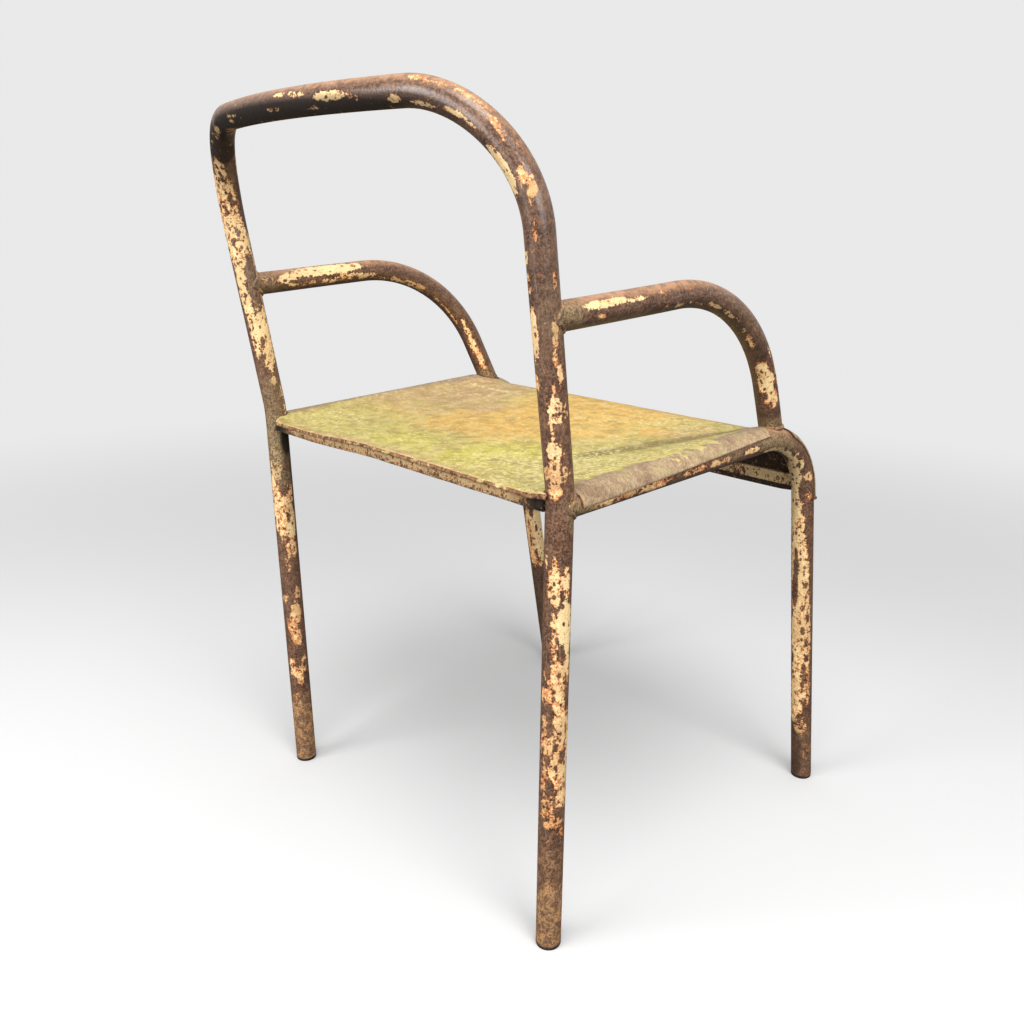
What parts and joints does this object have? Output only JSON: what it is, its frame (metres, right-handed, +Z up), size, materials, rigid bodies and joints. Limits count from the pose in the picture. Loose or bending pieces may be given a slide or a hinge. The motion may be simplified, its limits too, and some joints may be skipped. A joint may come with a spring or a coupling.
{
  "type": "metal tube lawn armchair",
  "caption": "Armchair of bent steel tube with a bowed top rail, curved arms and a seat folded from sheet steel, in chipped and rusted paint.",
  "frame": {"origin": "on the floor under the middle of the chair's bounding box", "axes": "+Z up, the chair faces -Y, +X is the sitter's left"},
  "size_m": [0.5134, 0.5874, 0.7825],
  "materials": {
    "back_frame": "chipped cream paint over dark rust, semi-matt",
    "side_frames": "chipped cream paint over dark rust, semi-matt",
    "arms": "worn to dark rust, patches of cream paint",
    "seat": "faded cream paint with moss and ochre stains, matt",
    "bars": "cream paint with rust spots and cracks",
    "feet": "bare rusty steel, worn",
    "welds": "rough dark weld metal with paint remains"
  },
  "bodies": {
    "root": {"back_frame_tube": "back_frame", "side_tube_left": "side_frames", "side_tube_right": "side_frames", "arm_tube_left": "arms", "arm_tube_right": "arms", "seat_plate": "seat", "rear_seat_bar": "bars", "front_seat_bar": "bars", "rear_foot_plug_left": "feet", "rear_foot_plug_right": "feet", "front_foot_plug_left": "feet", "front_foot_plug_right": "feet", "rail_weld_left": "welds", "rail_weld_right": "welds", "arm_post_weld_left": "welds", "arm_post_weld_right": "welds", "arm_seat_weld_left": "welds", "arm_seat_weld_right": "welds", "rear_bar_weld_left": "welds", "rear_bar_weld_right": "welds", "front_bar_weld_left": "welds", "front_bar_weld_right": "welds", "apron_weld_left": "welds", "apron_weld_right": "welds"}
  },
  "joints": []
}
